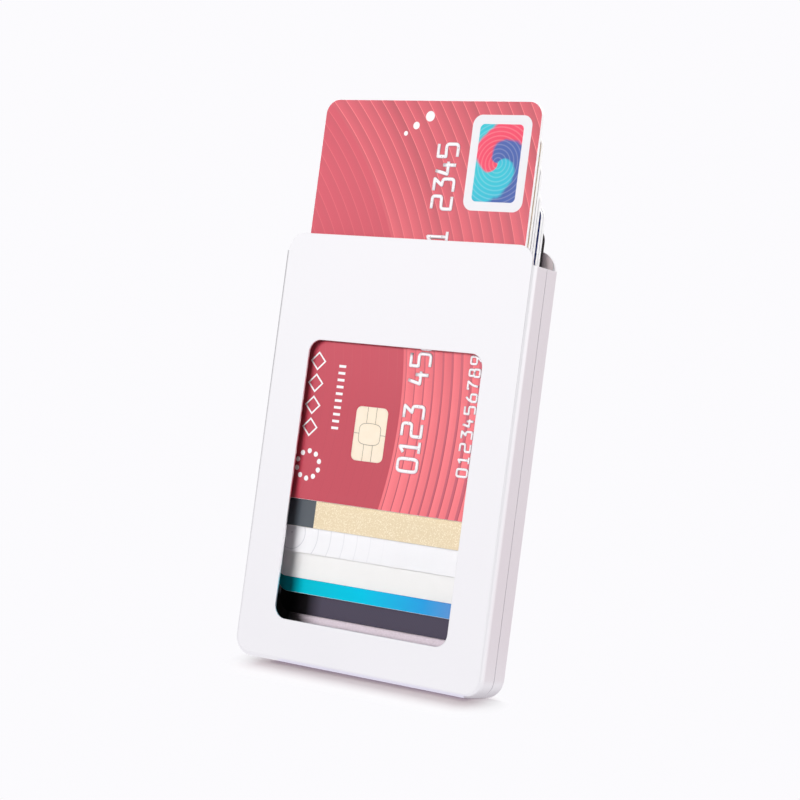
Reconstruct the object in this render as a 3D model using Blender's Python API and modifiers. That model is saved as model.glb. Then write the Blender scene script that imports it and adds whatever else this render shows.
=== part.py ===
"""Aluminium card holder with a thumb window, and seven cards that stand in it in steps.

The case stands upright on its bottom wall. Its front faces -Y and its open mouth faces +Z.
The origin is at the middle of the bottom face. All lengths are in metres.
"""

import math

import bmesh
import bpy
from mathutils import Matrix, Vector

# Cards: the standard identification card, and how the seven stand in the case
CARD_WIDTH = 0.0540
CARD_HEIGHT = 0.0856
CARD_THICKNESS = 0.00076
CARD_RADIUS = 0.00318
CARD_GAP = 0.0001
CARD_FLOOR_CLEARANCE = 0.0001
PAD_CARD_CLEARANCE = 0.00032
REAR_CARD_GAP = 0.00083
SIDE_PLAY = 0.00135
CARD_RISE_SHARES = (0.374, 0.306, 0.242, 0.179, 0.1415, 0.1425, 0.090)
CARD_SHIFT_SHARES = (0.15, 0.30, 0.37, 0.41, 0.70, 0.70, 0.74)
CHIP_CARDS = (1, 2, 3, 5)

# Chip contact plate, measured from the card's left and bottom edges
CHIP_WIDTH = 0.0080
CHIP_HEIGHT = 0.0113
CHIP_THICKNESS = 0.0002
CHIP_RADIUS = 0.0012
CHIP_FROM_LEFT = 0.0182
CHIP_FROM_BOTTOM = 0.0096
CHIP_CLEARANCE = 0.00004

# Case: two half shells that meet at mid-depth. Their faces are thinner than their side walls
WALL = 0.0010
FACE_THICKNESS = 0.0004
SEAM_GAP = 0.0003
CORNER_RADIUS = 0.0042
EDGE_ROUND = 0.0010
SIDE_WALL_DROP = 0.00393
MOUTH_DEPTH = 0.00275
FRONT_LIP_INSET = 0.0009
FRONT_LIP_RADIUS = 0.0036
REAR_LIP_INSET = 0.00065
REAR_LIP_RADIUS = 0.0044

# Thumb window, placed by the width of the frame that is left round it
WINDOW_SIDE_FRAME = 0.0096
WINDOW_BOTTOM_FRAME = 0.0090
WINDOW_TOP_FRAME = 0.02253
WINDOW_RADIUS = 0.0028
WINDOW_CHAMFER = 0.00012

# Side rails and floor rail, with the beads that snap into the shells
RAIL_CLEARANCE = 0.00015
RAIL_THICKNESS = 0.0008
RAIL_SIDE_CLEARANCE = 0.0003
RAIL_TOP_DROP = 0.0012
RAIL_FOOT_GAP = 0.0008
RAIL_CORNER_RADIUS = 0.0004
FLOOR_RAIL_THICKNESS = 0.0006
BEAD_RADIUS = 0.00045
BEAD_PROUD = 0.0003
BEAD_CLEARANCE = 0.00015
BEAD_FROM_EDGE = 0.00125
BEAD_END_INSET = 0.0008
GROOVE_OVERRUN = 0.0002

# Blocks at the rails' ends, and the slots in them that hold the springs
BLOCK_HEIGHT = 0.0025
BLOCK_INSET = 0.00012
SLOT_DEPTH = 0.0016
SLOT_CLEARANCE = 0.00012
SLOT_BACK = 0.00015

# Leaf springs
SPRING_ROOM = 0.0011
SPRING_THICKNESS = 0.0002
SPRING_WIDTH = 0.0054
SPRING_CARD_CLEARANCE = 0.0003
SPRING_END_CLEARANCE = 0.0004

# Floor bumper and felt pads
BUMPER_THICKNESS = 0.0005
BUMPER_SIDE_CLEARANCE = 0.0001
BUMPER_END_INSET = 0.0010
PAD_THICKNESS = 0.0010
PAD_SIDE_INSET = 0.0030
PAD_MARGIN = 0.0012
PAD_RADIUS = 0.0010
GLUE_GAP = 0.00003

# Form and fineness of the round edges, and how far a cutter runs past what it cuts
ROUND_PROFILE_SHARE = 0.5
CORNER_SEGMENTS = 10
EDGE_SEGMENTS = 5
SMALL_SEGMENTS = 4
BEAD_SIDES = 12
SPRING_STEPS = 24
CUT_OVERRUN = 0.0020
SAME_PLACE = 0.00001
SMOOTH_ANGLE = math.radians(35)

# The case's outer size, built up from the cards outwards
CARD_PITCH = CARD_THICKNESS + CARD_GAP
PACK_DEPTH = len(CARD_RISE_SHARES) * CARD_PITCH - CARD_GAP
FRONT_CARD_GAP = GLUE_GAP + PAD_THICKNESS + PAD_CARD_CLEARANCE
RAIL_ROOM = RAIL_THICKNESS + RAIL_CLEARANCE
FLOOR_RAIL_BOTTOM = WALL + RAIL_CLEARANCE
FLOOR_RAIL_TOP = FLOOR_RAIL_BOTTOM + FLOOR_RAIL_THICKNESS
BUMPER_BOTTOM = FLOOR_RAIL_TOP + GLUE_GAP
BUMPER_TOP = BUMPER_BOTTOM + BUMPER_THICKNESS
CARD_FLOOR = BUMPER_TOP + CARD_FLOOR_CLEARANCE
CASE_WIDTH = CARD_WIDTH + 2 * (SIDE_PLAY + SPRING_ROOM + RAIL_ROOM + WALL)
CASE_HEIGHT = CARD_FLOOR + CARD_HEIGHT + MOUTH_DEPTH
CASE_DEPTH = FRONT_CARD_GAP + PACK_DEPTH + REAR_CARD_GAP + 2 * FACE_THICKNESS

# Places that follow from the sizes above
FRONT_Y = -CASE_DEPTH / 2
INNER_FRONT_Y = FRONT_Y + FACE_THICKNESS
INNER_HALF_WIDTH = CASE_WIDTH / 2 - WALL
SIDE_WALL_TOP = CASE_HEIGHT - SIDE_WALL_DROP
WINDOW_BOTTOM = WINDOW_BOTTOM_FRAME
WINDOW_TOP = CASE_HEIGHT - WINDOW_TOP_FRAME
RAIL_OUTER_X = INNER_HALF_WIDTH - RAIL_CLEARANCE
RAIL_INNER_X = RAIL_OUTER_X - RAIL_THICKNESS
RAIL_HALF_DEPTH = CASE_DEPTH / 2 - FACE_THICKNESS - RAIL_SIDE_CLEARANCE
RAIL_BOTTOM = CORNER_RADIUS + RAIL_FOOT_GAP
RAIL_TOP = SIDE_WALL_TOP - RAIL_TOP_DROP
BEAD_Y = RAIL_HALF_DEPTH - BEAD_FROM_EDGE
FLOOR_RAIL_HALF_LENGTH = CASE_WIDTH / 2 - CORNER_RADIUS
FIRST_CARD_Y = INNER_FRONT_Y + FRONT_CARD_GAP
LEFTMOST_CARD_EDGE = CARD_WIDTH / 2 - min(CARD_SHIFT_SHARES) * SIDE_PLAY
RIGHTMOST_CARD_EDGE = CARD_WIDTH / 2 + max(CARD_SHIFT_SHARES) * SIDE_PLAY
BLOCK_INNER_X = CARD_WIDTH / 2 + SIDE_PLAY
SPRING_END_X = RAIL_INNER_X - SLOT_BACK - SLOT_CLEARANCE - SPRING_THICKNESS / 2

PARTS = "card_holder"
CUTTERS = "card_holder_cutters"


def clear_scene():
    for obj in list(bpy.data.objects):
        bpy.data.objects.remove(obj, do_unlink=True)


def new_collection(name, in_render):
    collection = bpy.data.collections.new(name)
    collection.hide_render = not in_render
    bpy.context.scene.collection.children.link(collection)
    return collection


def material(name, color, roughness, metallic):
    made = bpy.data.materials.new(name)
    made.use_nodes = True
    shader = made.node_tree.nodes["Principled BSDF"]
    shader.inputs["Base Color"].default_value = (*color, 1)
    shader.inputs["Roughness"].default_value = roughness
    shader.inputs["Metallic"].default_value = metallic
    made.diffuse_color = (*color, 1)
    return made


def object_from(shape, name, collection, location=(0, 0, 0)):
    """Makes an object of a bmesh and frees the bmesh."""
    mesh = bpy.data.meshes.new(name)
    bmesh.ops.recalc_face_normals(shape, faces=shape.faces)
    shape.to_mesh(mesh)
    shape.free()
    mesh.shade_smooth()
    mesh.set_sharp_from_angle(angle=SMOOTH_ANGLE)
    obj = bpy.data.objects.new(name, mesh)
    obj.location = location
    bpy.data.collections[collection].objects.link(obj)
    if collection == CUTTERS:
        obj.hide_render = True
        obj.display_type = "WIRE"
    return obj


def box(low, high):
    """A bmesh box between two corners."""
    low, high = Vector(low), Vector(high)
    shape = bmesh.new()
    place = Matrix.LocRotScale((low + high) / 2, None, high - low)
    bmesh.ops.create_cube(shape, size=1, matrix=place)
    return shape


def round_edges(shape, chosen, radius, segments):
    edges = [edge for edge in shape.edges if chosen(edge)]
    bmesh.ops.bevel(
        shape,
        geom=edges,
        offset=radius,
        offset_type="OFFSET",
        segments=segments,
        profile=ROUND_PROFILE_SHARE,
        affect="EDGES",
    )


def runs_along(axis):
    """Chooses the edges that run along one axis: 0, 1 or 2 for X, Y or Z."""

    def chosen(edge):
        step = edge.verts[1].co - edge.verts[0].co
        return abs(step[axis]) > step.length * math.cos(SMOOTH_ANGLE)

    return chosen


def on_face(axis, place):
    """Chooses the edges that lie in the plane at this place on an axis."""

    def chosen(edge):
        return all(abs(vert.co[axis] - place) < SAME_PLACE for vert in edge.verts)

    return chosen


def plate(low, high, radius, segments=CORNER_SEGMENTS):
    """A flat plate that faces Y, with its four corners rounded."""
    shape = box(low, high)
    round_edges(shape, runs_along(1), radius, segments)
    return shape


def cylinder(radius, start, end, sides=BEAD_SIDES):
    """A bmesh cylinder between two points."""
    start, end = Vector(start), Vector(end)
    turn = (end - start).to_track_quat("Z", "Y")
    shape = bmesh.new()
    bmesh.ops.create_cone(
        shape,
        cap_ends=True,
        segments=sides,
        radius1=radius,
        radius2=radius,
        depth=(end - start).length,
        matrix=Matrix.LocRotScale((start + end) / 2, turn, None),
    )
    return shape


def cut(obj, cutter, operation="DIFFERENCE"):
    modifier = obj.modifiers.new(cutter.name, "BOOLEAN")
    modifier.operation = operation
    modifier.object = cutter
    modifier.solver = "EXACT"


def cut_with(obj, shape, name, operation="DIFFERENCE"):
    cut(obj, object_from(shape, name, CUTTERS), operation)


def half_shell(name, side, lip_inset, lip_radius):
    """One half of the case. side is -1 for the front half and 1 for the rear one.

    It is a drawn tray, cut off at the side walls' height except for the lip of its face.
    """

    def across(near, far):
        """The low and high Y of a span given from the seam outwards."""
        return sorted((side * near, side * far))

    outer = CASE_DEPTH / 2
    y = across(SEAM_GAP / 2, outer)
    half = CASE_WIDTH / 2
    tray_top = CASE_HEIGHT + CORNER_RADIUS + EDGE_ROUND
    shape = plate((-half, y[0], 0), (half, y[1], tray_top), CORNER_RADIUS)
    round_edges(shape, on_face(1, side * outer), EDGE_ROUND, EDGE_SEGMENTS)
    shell = object_from(shape, name, PARTS)

    y = across(-CUT_OVERRUN, outer - FACE_THICKNESS)
    above = tray_top + CUT_OVERRUN
    cavity = box((-INNER_HALF_WIDTH, y[0], WALL), (INNER_HALF_WIDTH, y[1], above))
    lower_edges = runs_along(1)
    round_edges(
        cavity,
        lambda edge: lower_edges(edge) and edge.verts[0].co.z < CASE_HEIGHT / 2,
        CORNER_RADIUS - WALL,
        CORNER_SEGMENTS,
    )
    cut_with(shell, cavity, name + "_cavity")

    wide = half + CUT_OVERRUN
    y = across(-CUT_OVERRUN, outer + CUT_OVERRUN)
    mouth_box = box((-wide, y[0], SIDE_WALL_TOP), (wide, y[1], above))
    mouth = object_from(mouth_box, name + "_mouth", CUTTERS)
    lip_half = half - lip_inset
    y = across(outer - FACE_THICKNESS, outer + 2 * CUT_OVERRUN)
    lip = plate(
        (-lip_half, y[0], SIDE_WALL_TOP - 2 * CORNER_RADIUS),
        (lip_half, y[1], CASE_HEIGHT),
        lip_radius,
    )
    cut_with(mouth, lip, name + "_lip")
    cut(shell, mouth)
    cut_bead_grooves(shell, side)
    return shell


def bead_line(side, x_side):
    """The ends of a rail's bead, on the rail's outer face. x_side 0 means the floor rail."""
    sink = BEAD_RADIUS - BEAD_PROUD
    if x_side == 0:
        z = FLOOR_RAIL_BOTTOM + sink
        reach = FLOOR_RAIL_HALF_LENGTH - BEAD_END_INSET
        return (-reach, side * BEAD_Y, z), (reach, side * BEAD_Y, z)
    x = x_side * (RAIL_OUTER_X - sink)
    low = RAIL_BOTTOM + BEAD_END_INSET
    high = RAIL_TOP - BEAD_END_INSET
    return (x, side * BEAD_Y, low), (x, side * BEAD_Y, high)


def cut_bead_grooves(shell, side):
    for x_side, place in ((-1, "left"), (1, "right"), (0, "floor")):
        start, end = map(Vector, bead_line(side, x_side))
        along = (end - start).normalized() * GROOVE_OVERRUN
        groove = cylinder(BEAD_RADIUS + BEAD_CLEARANCE, start - along, end + along)
        cut_with(shell, groove, f"{shell.name}_{place}_groove")


def cut_window(shell):
    half = CASE_WIDTH / 2 - WINDOW_SIDE_FRAME
    window = plate(
        (-half, FRONT_Y - CUT_OVERRUN, WINDOW_BOTTOM),
        (half, INNER_FRONT_Y + CUT_OVERRUN / 2, WINDOW_TOP),
        WINDOW_RADIUS,
    )
    cut_with(shell, window, "window_opening")
    wide = half + WINDOW_CHAMFER
    back = FRONT_Y + WINDOW_CHAMFER
    flare = plate(
        (-wide, FRONT_Y - CUT_OVERRUN, WINDOW_BOTTOM - WINDOW_CHAMFER),
        (wide, back, WINDOW_TOP + WINDOW_CHAMFER),
        WINDOW_RADIUS + WINDOW_CHAMFER,
    )
    round_edges(flare, on_face(1, back), WINDOW_CHAMFER, 1)
    cut_with(shell, flare, "window_chamfer")


def side_rail(name, x_side):
    """A moulded strip along a side wall, with two beads outside and two spring blocks inside."""

    def across(near, far):
        return sorted((x_side * near, x_side * far))

    x = across(RAIL_INNER_X, RAIL_OUTER_X)
    shape = box(
        (x[0], -RAIL_HALF_DEPTH, RAIL_BOTTOM), (x[1], RAIL_HALF_DEPTH, RAIL_TOP)
    )
    round_edges(shape, runs_along(0), RAIL_CORNER_RADIUS, SMALL_SEGMENTS)
    rail = object_from(shape, name, PARTS)

    for side, place in ((-1, "front"), (1, "rear")):
        bead = cylinder(BEAD_RADIUS, *bead_line(side, x_side))
        cut_with(rail, bead, f"{name}_{place}_bead", "UNION")

    half_block = RAIL_HALF_DEPTH - BLOCK_INSET
    half_slot = SPRING_WIDTH / 2 + SLOT_CLEARANCE
    x = across(BLOCK_INNER_X, (RAIL_INNER_X + RAIL_OUTER_X) / 2)
    slot_x = across(
        SPRING_END_X - SPRING_THICKNESS / 2 - SLOT_CLEARANCE, RAIL_INNER_X - SLOT_BACK
    )
    middle = (RAIL_BOTTOM + RAIL_TOP) / 2
    for end, place in ((-1, "lower"), (1, "upper")):
        far = (RAIL_TOP - RAIL_BOTTOM) / 2 - BLOCK_INSET
        z = sorted((middle + end * far, middle + end * (far - BLOCK_HEIGHT)))
        block = box((x[0], -half_block, z[0]), (x[1], half_block, z[1]))
        cut_with(rail, block, f"{name}_{place}_block", "UNION")
        near = far - BLOCK_HEIGHT
        z = sorted((middle + end * (near - CUT_OVERRUN), middle + end * (near + SLOT_DEPTH)))
        slot = box((slot_x[0], -half_slot, z[0]), (slot_x[1], half_slot, z[1]))
        cut_with(rail, slot, f"{name}_{place}_slot")
    return rail


def leaf_spring(name, x_side, card_edge):
    """A bowed strip whose ends sit in the rail's slots and whose middle faces the cards' edges."""
    middle = (RAIL_BOTTOM + RAIL_TOP) / 2
    slot_end = (RAIL_TOP - RAIL_BOTTOM) / 2 - BLOCK_INSET - BLOCK_HEIGHT + SLOT_DEPTH
    reach = slot_end - SPRING_END_CLEARANCE
    straight = SLOT_DEPTH / reach
    crest = card_edge + SPRING_CARD_CLEARANCE + SPRING_THICKNESS / 2
    bow = SPRING_END_X - crest
    shape = bmesh.new()
    bmesh.ops.create_grid(shape, x_segments=1, y_segments=SPRING_STEPS, size=1)
    for vert in shape.verts:
        share = max(0, 1 - abs(vert.co.y) / (1 - straight))
        inward = bow * math.sin(share * math.pi / 2) ** 2
        x = x_side * (SPRING_END_X - inward)
        vert.co = Vector((x, vert.co.x * SPRING_WIDTH / 2, middle + vert.co.y * reach))
    spring = object_from(shape, name, PARTS)
    wall = spring.modifiers.new("sheet", "SOLIDIFY")
    wall.thickness = SPRING_THICKNESS
    wall.offset = 0
    return spring


def floor_rail():
    half = FLOOR_RAIL_HALF_LENGTH
    shape = box(
        (-half, -RAIL_HALF_DEPTH, FLOOR_RAIL_BOTTOM),
        (half, RAIL_HALF_DEPTH, FLOOR_RAIL_TOP),
    )
    round_edges(shape, runs_along(2), RAIL_CORNER_RADIUS, SMALL_SEGMENTS)
    rail = object_from(shape, "floor_rail", PARTS)
    for side, place in ((-1, "front"), (1, "rear")):
        bead = cylinder(BEAD_RADIUS, *bead_line(side, 0))
        cut_with(rail, bead, f"floor_rail_{place}_bead", "UNION")
    return rail


def floor_bumper():
    half = FLOOR_RAIL_HALF_LENGTH - BUMPER_END_INSET
    half_depth = RAIL_HALF_DEPTH - BUMPER_SIDE_CLEARANCE
    shape = box((-half, -half_depth, BUMPER_BOTTOM), (half, half_depth, BUMPER_TOP))
    round_edges(shape, runs_along(2), RAIL_CORNER_RADIUS, SMALL_SEGMENTS)
    return object_from(shape, "floor_bumper", PARTS)


def felt_pad(name, bottom, top):
    """A thin felt strip glued to the inside of the front panel."""
    low = INNER_FRONT_Y + GLUE_GAP
    half = CARD_WIDTH / 2 - PAD_SIDE_INSET
    shape = plate(
        (-half, low, bottom), (half, low + PAD_THICKNESS, top), PAD_RADIUS, SMALL_SEGMENTS
    )
    return object_from(shape, name, PARTS)


def card(number):
    """A card whose origin is at the middle of its bottom edge, on its front face."""
    place = (
        CARD_SHIFT_SHARES[number - 1] * SIDE_PLAY,
        FIRST_CARD_Y + (number - 1) * CARD_PITCH,
        CARD_FLOOR + CARD_RISE_SHARES[number - 1] * CARD_HEIGHT,
    )
    half = CARD_WIDTH / 2
    shape = plate((-half, 0, 0), (half, CARD_THICKNESS, CARD_HEIGHT), CARD_RADIUS)
    return object_from(shape, f"card_{number}", PARTS, place)


def chip_outline(grow, front, back):
    left = CHIP_FROM_LEFT - CARD_WIDTH / 2
    return plate(
        (left - grow, front, CHIP_FROM_BOTTOM - grow),
        (left + CHIP_WIDTH + grow, back, CHIP_FROM_BOTTOM + CHIP_HEIGHT + grow),
        CHIP_RADIUS + grow,
        SMALL_SEGMENTS,
    )


def chip(number, carrier):
    """A contact plate, flush with the card's front in a shallow pocket."""
    pocket_depth = CHIP_THICKNESS + CHIP_CLEARANCE
    pocket = chip_outline(CHIP_CLEARANCE, -CUT_OVERRUN, pocket_depth)
    cutter = object_from(pocket, f"card_{number}_pocket", CUTTERS)
    cutter.parent = carrier
    cut(carrier, cutter)
    plate_shape = chip_outline(0, 0, CHIP_THICKNESS)
    contact = object_from(plate_shape, f"card_{number}_chip", PARTS)
    contact.parent = carrier
    return contact


def paint(obj, finish):
    obj.data.materials.append(finish)


def main():
    clear_scene()
    new_collection(PARTS, True)
    new_collection(CUTTERS, False)

    aluminium = material("bead_blasted_aluminium", (0.80, 0.79, 0.81), 0.42, 1.0)
    black_plastic = material("black_moulded_plastic", (0.03, 0.03, 0.035), 0.5, 0.0)
    steel = material("spring_steel", (0.62, 0.62, 0.64), 0.3, 1.0)
    felt = material("grey_felt", (0.20, 0.20, 0.21), 0.95, 0.0)
    soft = material("soft_bumper", (0.07, 0.07, 0.075), 0.8, 0.0)
    gold_contact = material("gold_contact", (0.85, 0.72, 0.45), 0.25, 1.0)
    card_finishes = (
        material("red_card", (0.62, 0.10, 0.13), 0.35, 0.0),
        material("gold_card", (0.80, 0.62, 0.36), 0.35, 0.3),
        material("white_card", (0.88, 0.87, 0.93), 0.35, 0.0),
        material("ivory_card", (0.87, 0.86, 0.83), 0.35, 0.0),
        material("blue_green_card", (0.02, 0.58, 0.72), 0.3, 0.0),
        material("plain_white_card", (0.88, 0.87, 0.88), 0.4, 0.0),
        material("dark_card", (0.09, 0.08, 0.11), 0.35, 0.0),
    )

    holder = bpy.data.objects.new("holder_origin", None)
    bpy.data.collections[PARTS].objects.link(holder)

    front = half_shell("front_shell", -1, FRONT_LIP_INSET, FRONT_LIP_RADIUS)
    cut_window(front)
    rear = half_shell("rear_shell", 1, REAR_LIP_INSET, REAR_LIP_RADIUS)
    fixed = [(front, aluminium), (rear, aluminium)]
    for name, x_side, edge in (
        ("left", -1, LEFTMOST_CARD_EDGE),
        ("right", 1, RIGHTMOST_CARD_EDGE),
    ):
        fixed.append((side_rail(name + "_rail", x_side), black_plastic))
        fixed.append((leaf_spring(name + "_leaf_spring", x_side, edge), steel))
    fixed.append((floor_rail(), black_plastic))
    fixed.append((floor_bumper(), soft))
    upper = felt_pad("front_pad_upper", WINDOW_TOP + PAD_MARGIN, SIDE_WALL_TOP - PAD_MARGIN)
    lower = felt_pad("front_pad_lower", BUMPER_TOP, WINDOW_BOTTOM - PAD_MARGIN)
    fixed += [(upper, felt), (lower, felt)]
    for obj, finish in fixed:
        obj.parent = holder
        paint(obj, finish)

    for number, finish in enumerate(card_finishes, 1):
        one_card = card(number)
        one_card.parent = holder
        paint(one_card, finish)
        if number in CHIP_CARDS:
            paint(chip(number, one_card), gold_contact)


main()
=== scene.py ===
"""Looks of the aluminium card holder: its two half shells, the seven printed cards, and the studio.

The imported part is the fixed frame. Lengths are in metres, +Z is up and the holder's front faces -Y.
"""

import math

import bpy
from mathutils import Matrix, Vector


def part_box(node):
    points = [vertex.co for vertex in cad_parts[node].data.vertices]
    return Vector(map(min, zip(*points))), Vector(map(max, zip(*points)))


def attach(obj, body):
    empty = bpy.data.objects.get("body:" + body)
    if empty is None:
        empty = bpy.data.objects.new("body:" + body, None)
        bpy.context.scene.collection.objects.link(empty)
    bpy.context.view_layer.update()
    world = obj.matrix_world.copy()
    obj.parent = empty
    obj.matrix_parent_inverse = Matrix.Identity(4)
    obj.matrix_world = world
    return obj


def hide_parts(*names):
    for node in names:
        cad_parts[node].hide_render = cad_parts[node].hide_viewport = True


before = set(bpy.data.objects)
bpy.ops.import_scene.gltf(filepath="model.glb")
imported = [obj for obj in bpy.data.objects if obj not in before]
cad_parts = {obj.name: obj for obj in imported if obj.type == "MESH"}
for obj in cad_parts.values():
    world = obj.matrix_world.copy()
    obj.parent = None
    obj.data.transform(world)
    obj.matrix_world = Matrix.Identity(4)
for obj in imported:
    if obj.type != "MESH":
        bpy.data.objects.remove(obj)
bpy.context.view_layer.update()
bpy.ops.object.select_all(action="DESELECT")

# The camera stands low and to the right of the front, and is held a little askew. Its place and lens were
# fitted to the edges of the case and of the standard-size cards.
AIM = Vector((0.00004, 0, 0.05755))
CAMERA_DISTANCE = 0.4418
CAMERA_AZIMUTH = math.radians(34.567)
CAMERA_ELEVATION = math.radians(-1.893)
CAMERA_ROLL = math.radians(7.479)
LENS_MM = 95.754
SENSOR_MM = 36
NEAREST = 0.01
FARTHEST = 50

camera_turn = (
    Matrix.Rotation(CAMERA_AZIMUTH, 3, "Z")
    @ Matrix.Rotation(math.pi / 2 - CAMERA_ELEVATION, 3, "X")
    @ Matrix.Rotation(CAMERA_ROLL, 3, "Z")
)
bpy.ops.object.camera_add(
    location=AIM + camera_turn @ Vector((0, 0, CAMERA_DISTANCE)),
    rotation=camera_turn.to_euler(),
)
camera = bpy.context.object
camera.data.lens = LENS_MM
camera.data.sensor_width = SENSOR_MM
camera.data.clip_start = NEAREST
camera.data.clip_end = FARTHEST
bpy.context.scene.camera = camera

# The front half shell: aluminium sheet drawn into a shallow tray, with a thumb window punched through its
# face. At the mouth it is cut off at the side walls' height, except for the lip of its face. It is bead
# blasted and silver anodised.
WALL = 0.0010
FACE_THICKNESS = 0.0004
CORNER_RADIUS = 0.0042
EDGE_ROUND = 0.0010
SEAM_EDGE = 0.00010
SEAM_REACH = 0.00009
INNER_FILLET = 0.00025
LIP_EDGE = 0.00008
WALL_TOP_EDGE = 0.00035
SIDE_WALL_DROP = 0.00393
FRONT_LIP_INSET = 0.0009
FRONT_LIP_RADIUS = 0.0036
WINDOW_SIDE_FRAME = 0.0096
WINDOW_BOTTOM = 0.0090
WINDOW_TOP_FRAME = 0.02253
WINDOW_RADIUS = 0.0028
WINDOW_EDGE = 0.00012
GROOVE_RADIUS = 0.0006
GROOVE_FROM_EDGE = 0.00125
GROOVE_SINK = 0.00015
GROOVE_SIDES = 24
OVERRUN = 0.002
TINY = 0.000001
CORNER_STEPS = 18
EDGE_STEPS = 8
FILLET_STEPS = 3
FINE_STEPS = 2
ROUND_PROFILE_SHARE = 0.5
# An edge or a face counts as lying along an axis if this share of it does
ALIGNED_SHARE = 0.99
SMOOTH_ANGLE = math.radians(32)
# How fine a noise's smallest spots are
PLAIN_DETAIL = 2.0
FINE_DETAIL = 3.0
FINEST_DETAIL = 4.0
# A blend is the middle and the width of a soft step from 0 to 1. A relief is its depth in metres and its
# strength. A roughness runs from its first number to its second.
ALUMINIUM = (0.915, 0.905, 0.93)
ALUMINIUM_SHADE = (0.885, 0.872, 0.9)
ALUMINIUM_ROUGHNESS = 0.36
ALUMINIUM_RELIEF = (0.000012, 0.5)
GRAIN_SIZE = 0.00011
GRAIN_ROUGHNESS = 0.06
CLOUD_SIZE = 0.011
CLOUD_ROUGHNESS = 0.05
CLOUD_SHARE = 0.7
INSIDE = (0.91, 0.79, 0.87)
INSIDE_SPOT = (0.68, 0.575, 0.65)
INSIDE_ROUGHNESS = (0.5, 0.7)
INSIDE_RELIEF = (0.000015, 0.6)
MOTTLE_SIZE = 0.0005
# Painted shade that darkens the inside's two lower corners to near black
CORNER_PAINTED_SHADE = (0.035, 0.03, 0.03)
CORNER_SHADE_SIDE_BLEND = (0.0225, 0.004)
CORNER_SHADE_TOP_BLEND = (0.0150, 0.004)
# Rubbed bright by cards at the mouth, and made lighter there as painted light
RUBBED_AND_PAINTED_LIGHT = (0.99, 0.90, 0.91)
RUBBED_METALLIC = 0.9
RUBBED_AND_PAINTED_LIGHT_BLEND = (0.080, 0.006)


def pick(piece):
    """Makes this piece the only selected one, and the active one."""
    bpy.ops.object.select_all(action="DESELECT")
    bpy.context.view_layer.objects.active = piece
    piece.select_set(True)


def add_block(name, low, high):
    """A box between two opposite corners, with its place in its mesh."""
    low, high = Vector(low), Vector(high)
    bpy.ops.mesh.primitive_cube_add(size=1, location=(low + high) / 2)
    block = bpy.context.object
    block.name = name
    block.scale = [abs(reach) for reach in high - low]
    bpy.ops.object.transform_apply(location=True, rotation=True, scale=True)
    return block


def along(axis):
    """Chooses the edges that run along an axis: 0, 1 or 2 for X, Y or Z."""

    def chosen(start, end):
        step = end - start
        return abs(step[axis]) > ALIGNED_SHARE * step.length

    return chosen


def lies_at(axis, place):
    """Chooses the edges that lie in the plane at this place on an axis."""

    def chosen(start, end):
        return max(abs(start[axis] - place), abs(end[axis] - place)) < TINY

    return chosen


def round_edges(piece, chosen, radius, steps):
    """Bevels the edges that chosen(start, end) accepts."""
    pick(piece)
    bpy.ops.object.mode_set(mode="EDIT")
    bpy.ops.mesh.select_mode(type="EDGE")
    bpy.ops.mesh.select_all(action="DESELECT")
    bpy.ops.object.mode_set(mode="OBJECT")
    mesh = piece.data
    for edge in mesh.edges:
        start, end = (mesh.vertices[index].co for index in edge.vertices)
        edge.select = chosen(start, end)
    bpy.ops.object.mode_set(mode="EDIT")
    bpy.ops.mesh.bevel(offset=radius, segments=steps, profile=ROUND_PROFILE_SHARE)
    bpy.ops.object.mode_set(mode="OBJECT")


def add_plate(name, low, high, radius, steps):
    """A flat plate that faces Y, with its four corners rounded."""
    plate = add_block(name, low, high)
    round_edges(plate, along(1), radius, steps)
    return plate


def cut_out(piece, cutter):
    """Takes the cutter's shape out of the piece. The cut faces take the cutter's material index."""
    pick(piece)
    modifier = piece.modifiers.new("cut", "BOOLEAN")
    modifier.operation = "DIFFERENCE"
    modifier.object = cutter
    bpy.ops.object.modifier_apply(modifier=modifier.name)
    bpy.data.objects.remove(cutter, do_unlink=True)


def smooth(piece):
    """Smooth shading that keeps flat faces flat and sharp edges sharp."""
    pick(piece)
    bpy.ops.object.shade_smooth_by_angle(angle=SMOOTH_ANGLE)
    modifier = piece.modifiers.new("flat faces first", "WEIGHTED_NORMAL")
    modifier.keep_sharp = True
    bpy.ops.object.modifier_apply(modifier=modifier.name)


def set_in_place(piece, body, slot, finishes, *nodes):
    """Gives a finished piece its materials and body, and hides the nodes it stands for; slot is not used.
    """
    for finish in finishes:
        piece.data.materials.append(finish)
    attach(piece, body)
    if nodes:
        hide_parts(*nodes)


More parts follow.
